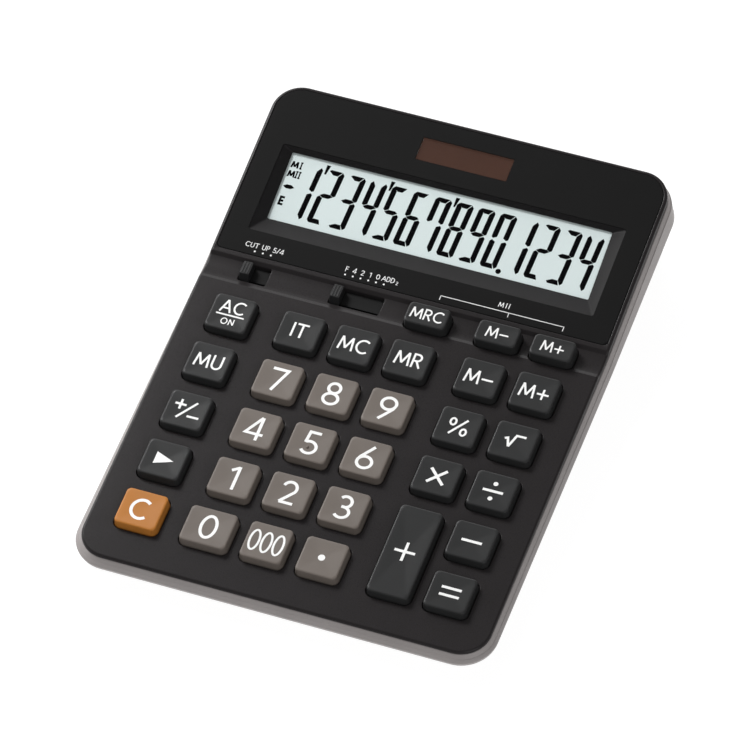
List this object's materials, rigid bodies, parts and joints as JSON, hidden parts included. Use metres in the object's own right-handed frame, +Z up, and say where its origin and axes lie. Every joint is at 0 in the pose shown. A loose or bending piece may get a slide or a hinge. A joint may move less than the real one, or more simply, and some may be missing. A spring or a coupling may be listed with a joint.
{
  "type": "desk calculator",
  "caption": "Desktop calculator with a wedge-shaped two-part case, raised liquid crystal display, solar window, rounded push keys and slide switches.",
  "frame": {"origin": "centre of the case outline, on the surface the feet stand on", "axes": "+X to the user's right, +Y from the keys towards the display, +Z up"},
  "size_m": [0.1544, 0.2094, 0.0344],
  "materials": {
    "black_plastic": "fine matt texture",
    "taupe_plastic": "satin, metallic look",
    "panel_gloss": "polished",
    "bezel_plastic": "satin",
    "clear_window": "clear",
    "lcd_glass": "pale liquid crystal face",
    "inner_plastic": "matt",
    "ribbon_film": "printed film",
    "solar_tint": "tinted window",
    "solar_cell": "glass coated",
    "wire_sleeve": "smooth sleeve",
    "circuit_board": "solder mask",
    "chip_resin": "moulded resin",
    "silicone": "soft moulding",
    "cell_steel": "bright",
    "contact_metal": "sprung strip",
    "screw_steel": "plated",
    "foot_rubber": "matt",
    "switch_plastic": "fine matt texture",
    "number_key": "satin",
    "clear_key": "satin",
    "dark_key": "satin"
  },
  "bodies": {
    "calculator": {"upper_case": "black_plastic", "lower_case": "taupe_plastic", "display_panel": "panel_gloss", "lcd_bezel": "bezel_plastic", "lcd_window": "clear_window", "lcd_cell": "lcd_glass", "lcd_retainer": "inner_plastic", "lcd_ribbon": "ribbon_film", "solar_window": "solar_tint", "solar_cell": "solar_cell", "power_leads": "wire_sleeve", "main_board": "circuit_board", "processor_chip": "chip_resin", "key_mat": "silicone", "button_cell": "cell_steel", "battery_contacts": "contact_metal", "battery_cover": "taupe_plastic", "battery_cover_screw": "screw_steel", "case_screws": "screw_steel", "board_screws": "screw_steel", "rubber_feet": "foot_rubber"},
    "rounding_switch": {"rounding_switch_knob": "switch_plastic", "rounding_switch_contact": "contact_metal"},
    "decimal_switch": {"decimal_switch_knob": "switch_plastic", "decimal_switch_contact": "contact_metal"},
    "key_second_memory_recall_body": {"key_second_memory_recall": "dark_key"},
    "key_second_memory_minus_body": {"key_second_memory_minus": "dark_key"},
    "key_second_memory_plus_body": {"key_second_memory_plus": "dark_key"},
    "key_all_clear_body": {"key_all_clear": "dark_key"},
    "key_item_count_body": {"key_item_count": "dark_key"},
    "key_memory_clear_body": {"key_memory_clear": "dark_key"},
    "key_memory_recall_body": {"key_memory_recall": "dark_key"},
    "key_memory_minus_body": {"key_memory_minus": "dark_key"},
    "key_memory_plus_body": {"key_memory_plus": "dark_key"},
    "key_mark_up_body": {"key_mark_up": "dark_key"},
    "key_7_body": {"key_7": "number_key"},
    "key_8_body": {"key_8": "number_key"},
    "key_9_body": {"key_9": "number_key"},
    "key_percent_body": {"key_percent": "dark_key"},
    "key_root_body": {"key_root": "dark_key"},
    "key_sign_body": {"key_sign": "dark_key"},
    "key_4_body": {"key_4": "number_key"},
    "key_5_body": {"key_5": "number_key"},
    "key_6_body": {"key_6": "number_key"},
    "key_times_body": {"key_times": "dark_key"},
    "key_divide_body": {"key_divide": "dark_key"},
    "key_shift_body": {"key_shift": "dark_key"},
    "key_1_body": {"key_1": "number_key"},
    "key_2_body": {"key_2": "number_key"},
    "key_3_body": {"key_3": "number_key"},
    "key_plus_body": {"key_plus": "dark_key"},
    "key_minus_body": {"key_minus": "dark_key"},
    "key_clear_body": {"key_clear": "clear_key"},
    "key_0_body": {"key_0": "number_key"},
    "key_000_body": {"key_000": "number_key"},
    "key_point_body": {"key_point": "number_key"},
    "key_equals_body": {"key_equals": "dark_key"}
  },
  "joints": [
    {"name": "key_second_memory_recall_press", "type": "slide", "parent": "calculator", "child": "key_second_memory_recall_body", "axis": [0, 0.0844, -0.9964], "range_m": [0, 0.0013], "stiffness_N_per_m": 250, "springref_m": -0.001, "deforming": ["key_mat"]},
    {"name": "key_second_memory_minus_press", "type": "slide", "parent": "calculator", "child": "key_second_memory_minus_body", "axis": [0, 0.0844, -0.9964], "range_m": [0, 0.0013], "stiffness_N_per_m": 250, "springref_m": -0.001, "deforming": ["key_mat"]},
    {"name": "key_second_memory_plus_press", "type": "slide", "parent": "calculator", "child": "key_second_memory_plus_body", "axis": [0, 0.0844, -0.9964], "range_m": [0, 0.0013], "stiffness_N_per_m": 250, "springref_m": -0.001, "deforming": ["key_mat"]},
    {"name": "key_all_clear_press", "type": "slide", "parent": "calculator", "child": "key_all_clear_body", "axis": [0, 0.0844, -0.9964], "range_m": [0, 0.0013], "stiffness_N_per_m": 250, "springref_m": -0.001, "deforming": ["key_mat"]},
    {"name": "key_item_count_press", "type": "slide", "parent": "calculator", "child": "key_item_count_body", "axis": [0, 0.0844, -0.9964], "range_m": [0, 0.0013], "stiffness_N_per_m": 250, "springref_m": -0.001, "deforming": ["key_mat"]},
    {"name": "key_memory_clear_press", "type": "slide", "parent": "calculator", "child": "key_memory_clear_body", "axis": [0, 0.0844, -0.9964], "range_m": [0, 0.0013], "stiffness_N_per_m": 250, "springref_m": -0.001, "deforming": ["key_mat"]},
    {"name": "key_memory_recall_press", "type": "slide", "parent": "calculator", "child": "key_memory_recall_body", "axis": [0, 0.0844, -0.9964], "range_m": [0, 0.0013], "stiffness_N_per_m": 250, "springref_m": -0.001, "deforming": ["key_mat"]},
    {"name": "key_memory_minus_press", "type": "slide", "parent": "calculator", "child": "key_memory_minus_body", "axis": [0, 0.0844, -0.9964], "range_m": [0, 0.0013], "stiffness_N_per_m": 250, "springref_m": -0.001, "deforming": ["key_mat"]},
    {"name": "key_memory_plus_press", "type": "slide", "parent": "calculator", "child": "key_memory_plus_body", "axis": [0, 0.0844, -0.9964], "range_m": [0, 0.0013], "stiffness_N_per_m": 250, "springref_m": -0.001, "deforming": ["key_mat"]},
    {"name": "key_mark_up_press", "type": "slide", "parent": "calculator", "child": "key_mark_up_body", "axis": [0, 0.0844, -0.9964], "range_m": [0, 0.0013], "stiffness_N_per_m": 250, "springref_m": -0.001, "deforming": ["key_mat"]},
    {"name": "key_7_press", "type": "slide", "parent": "calculator", "child": "key_7_body", "axis": [0, 0.0844, -0.9964], "range_m": [0, 0.0013], "stiffness_N_per_m": 250, "springref_m": -0.001, "deforming": ["key_mat"]},
    {"name": "key_8_press", "type": "slide", "parent": "calculator", "child": "key_8_body", "axis": [0, 0.0844, -0.9964], "range_m": [0, 0.0013], "stiffness_N_per_m": 250, "springref_m": -0.001, "deforming": ["key_mat"]},
    {"name": "key_9_press", "type": "slide", "parent": "calculator", "child": "key_9_body", "axis": [0, 0.0844, -0.9964], "range_m": [0, 0.0013], "stiffness_N_per_m": 250, "springref_m": -0.001, "deforming": ["key_mat"]},
    {"name": "key_percent_press", "type": "slide", "parent": "calculator", "child": "key_percent_body", "axis": [0, 0.0844, -0.9964], "range_m": [0, 0.0013], "stiffness_N_per_m": 250, "springref_m": -0.001, "deforming": ["key_mat"]},
    {"name": "key_root_press", "type": "slide", "parent": "calculator", "child": "key_root_body", "axis": [0, 0.0844, -0.9964], "range_m": [0, 0.0013], "stiffness_N_per_m": 250, "springref_m": -0.001, "deforming": ["key_mat"]},
    {"name": "key_sign_press", "type": "slide", "parent": "calculator", "child": "key_sign_body", "axis": [0, 0.0844, -0.9964], "range_m": [0, 0.0013], "stiffness_N_per_m": 250, "springref_m": -0.001, "deforming": ["key_mat"]},
    {"name": "key_4_press", "type": "slide", "parent": "calculator", "child": "key_4_body", "axis": [0, 0.0844, -0.9964], "range_m": [0, 0.0013], "stiffness_N_per_m": 250, "springref_m": -0.001, "deforming": ["key_mat"]},
    {"name": "key_5_press", "type": "slide", "parent": "calculator", "child": "key_5_body", "axis": [0, 0.0844, -0.9964], "range_m": [0, 0.0013], "stiffness_N_per_m": 250, "springref_m": -0.001, "deforming": ["key_mat"]},
    {"name": "key_6_press", "type": "slide", "parent": "calculator", "child": "key_6_body", "axis": [0, 0.0844, -0.9964], "range_m": [0, 0.0013], "stiffness_N_per_m": 250, "springref_m": -0.001, "deforming": ["key_mat"]},
    {"name": "key_times_press", "type": "slide", "parent": "calculator", "child": "key_times_body", "axis": [0, 0.0844, -0.9964], "range_m": [0, 0.0013], "stiffness_N_per_m": 250, "springref_m": -0.001, "deforming": ["key_mat"]},
    {"name": "key_divide_press", "type": "slide", "parent": "calculator", "child": "key_divide_body", "axis": [0, 0.0844, -0.9964], "range_m": [0, 0.0013], "stiffness_N_per_m": 250, "springref_m": -0.001, "deforming": ["key_mat"]},
    {"name": "key_shift_press", "type": "slide", "parent": "calculator", "child": "key_shift_body", "axis": [0, 0.0844, -0.9964], "range_m": [0, 0.0013], "stiffness_N_per_m": 250, "springref_m": -0.001, "deforming": ["key_mat"]},
    {"name": "key_1_press", "type": "slide", "parent": "calculator", "child": "key_1_body", "axis": [0, 0.0844, -0.9964], "range_m": [0, 0.0013], "stiffness_N_per_m": 250, "springref_m": -0.001, "deforming": ["key_mat"]},
    {"name": "key_2_press", "type": "slide", "parent": "calculator", "child": "key_2_body", "axis": [0, 0.0844, -0.9964], "range_m": [0, 0.0013], "stiffness_N_per_m": 250, "springref_m": -0.001, "deforming": ["key_mat"]},
    {"name": "key_3_press", "type": "slide", "parent": "calculator", "child": "key_3_body", "axis": [0, 0.0844, -0.9964], "range_m": [0, 0.0013], "stiffness_N_per_m": 250, "springref_m": -0.001, "deforming": ["key_mat"]},
    {"name": "key_plus_press", "type": "slide", "parent": "calculator", "child": "key_plus_body", "axis": [0, 0.0844, -0.9964], "range_m": [0, 0.0013], "stiffness_N_per_m": 250, "springref_m": -0.001, "deforming": ["key_mat"]},
    {"name": "key_minus_press", "type": "slide", "parent": "calculator", "child": "key_minus_body", "axis": [0, 0.0844, -0.9964], "range_m": [0, 0.0013], "stiffness_N_per_m": 250, "springref_m": -0.001, "deforming": ["key_mat"]},
    {"name": "key_clear_press", "type": "slide", "parent": "calculator", "child": "key_clear_body", "axis": [0, 0.0844, -0.9964], "range_m": [0, 0.0013], "stiffness_N_per_m": 250, "springref_m": -0.001, "deforming": ["key_mat"]},
    {"name": "key_0_press", "type": "slide", "parent": "calculator", "child": "key_0_body", "axis": [0, 0.0844, -0.9964], "range_m": [0, 0.0013], "stiffness_N_per_m": 250, "springref_m": -0.001, "deforming": ["key_mat"]},
    {"name": "key_000_press", "type": "slide", "parent": "calculator", "child": "key_000_body", "axis": [0, 0.0844, -0.9964], "range_m": [0, 0.0013], "stiffness_N_per_m": 250, "springref_m": -0.001, "deforming": ["key_mat"]},
    {"name": "key_point_press", "type": "slide", "parent": "calculator", "child": "key_point_body", "axis": [0, 0.0844, -0.9964], "range_m": [0, 0.0013], "stiffness_N_per_m": 250, "springref_m": -0.001, "deforming": ["key_mat"]},
    {"name": "key_equals_press", "type": "slide", "parent": "calculator", "child": "key_equals_body", "axis": [0, 0.0844, -0.9964], "range_m": [0, 0.0013], "stiffness_N_per_m": 250, "springref_m": -0.001, "deforming": ["key_mat"]},
    {"name": "rounding_switch_slide", "type": "slide", "parent": "calculator", "child": "rounding_switch", "axis": [1, 0, 0], "range_m": [0, 0.0061]},
    {"name": "decimal_switch_slide", "type": "slide", "parent": "calculator", "child": "decimal_switch", "axis": [1, 0, 0], "range_m": [0, 0.01465]}
  ]
}
